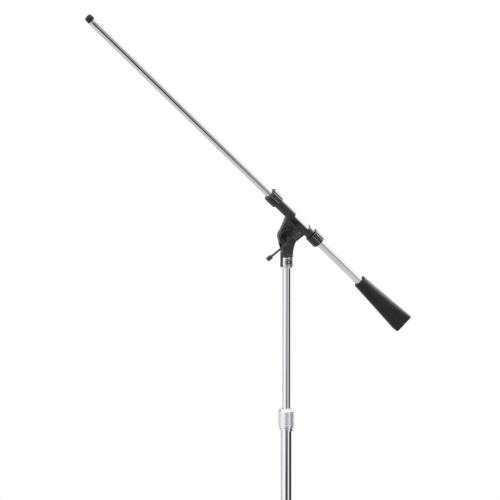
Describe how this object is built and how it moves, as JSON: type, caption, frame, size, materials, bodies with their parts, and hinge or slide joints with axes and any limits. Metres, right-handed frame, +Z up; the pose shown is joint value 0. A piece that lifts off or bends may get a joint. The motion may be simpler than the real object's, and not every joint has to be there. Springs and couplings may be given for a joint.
{
  "type": "boom microphone stand",
  "caption": "Boom microphone stand: round base, telescoping chrome column, black clamping swivel with T-bar, and a chrome boom tube with a counterweight.",
  "frame": {"origin": "centre of the base's underside, on the column's axis, at floor level", "axes": "+Z up along the column; the boom lies in the XZ plane with its microphone end toward -X; the T-bar is at the front, -Y"},
  "size_m": [0.6303, 0.254, 1.6398],
  "materials": {
    "chrome": "polished",
    "black_casting": "satin",
    "black_iron": "satin",
    "black_steel": "satin",
    "steel": "satin",
    "brass": "satin",
    "fibre": "matte",
    "nylon": "satin",
    "rubber": "matte"
  },
  "bodies": {
    "base": {"base_casting": "black_iron", "base_pad": "rubber", "base_stud": "steel", "base_washer": "steel", "base_nut": "steel", "base_lock_ring": "chrome", "lower_tube": "chrome", "clutch_body": "chrome", "clutch_bush": "nylon"},
    "height_clutch": {"clutch_grip": "chrome"},
    "upper_column": {"upper_tube": "chrome", "tube_glide": "nylon", "top_stud": "steel"},
    "swivel": {"swivel_socket": "black_casting", "front_friction_washer": "fibre", "rear_friction_washer": "fibre", "clamp_washer": "black_steel", "clamp_nut": "black_steel"},
    "tilt_screw": {"clamp_screw": "black_steel"},
    "t_handle": {"t_bar": "black_steel", "t_bar_knob_low": "black_steel", "t_bar_knob_high": "black_steel"},
    "cradle": {"boom_cradle": "black_casting"},
    "mic_grip": {"mic_side_grip": "black_casting"},
    "weight_grip": {"weight_side_grip": "black_casting"},
    "collets": {"mic_side_collet": "brass", "weight_side_collet": "brass"},
    "boom": {"boom_tube": "chrome", "mic_fitting": "black_steel", "counterweight": "black_iron", "weight_screw": "steel"}
  },
  "joints": [
    {"name": "column_lift", "type": "slide", "parent": "base", "child": "upper_column", "axis": [0, 0, 1], "range_m": [-0.26, 0.43]},
    {"name": "clutch_turn", "type": "hinge", "parent": "base", "child": "height_clutch", "pos_m": [0, 0, 0.84], "axis": [0, 0, 1], "range_deg": [0, 120]},
    {"name": "swivel_turn", "type": "hinge", "parent": "upper_column", "child": "swivel", "pos_m": [0, 0, 1.15], "axis": [0, 0, 1], "continuous": true},
    {"name": "boom_tilt", "type": "hinge", "parent": "swivel", "child": "cradle", "pos_m": [0, 0, 1.193], "axis": [0, 1, 0], "range_deg": [-130, 40]},
    {"name": "tilt_screw_turn", "type": "hinge", "parent": "swivel", "child": "tilt_screw", "pos_m": [0, -0.02, 1.193], "axis": [0, -1, 0], "continuous": true},
    {"name": "t_handle_slide", "type": "slide", "parent": "tilt_screw", "child": "t_handle", "axis": [0.7986, 0, 0.6018], "range_m": [0, 0.038]},
    {"name": "mic_grip_turn", "type": "hinge", "parent": "cradle", "child": "mic_grip", "pos_m": [-0.02501, 0, 1.26867], "axis": [-0.7009, 0, 0.7133], "range_deg": [-180, 0]},
    {"name": "weight_grip_turn", "type": "hinge", "parent": "cradle", "child": "weight_grip", "pos_m": [0.0556, 0, 1.18665], "axis": [-0.7009, 0, 0.7133], "range_deg": [0, 180]},
    {"name": "boom_roll", "type": "hinge", "parent": "cradle", "child": "collets", "pos_m": [0.02511, 0, 1.21767], "axis": [-0.7009, 0, 0.7133], "continuous": true},
    {"name": "boom_slide", "type": "slide", "parent": "collets", "child": "boom", "axis": [-0.7009, 0, 0.7133], "range_m": [-0.45, 0.11]}
  ]
}
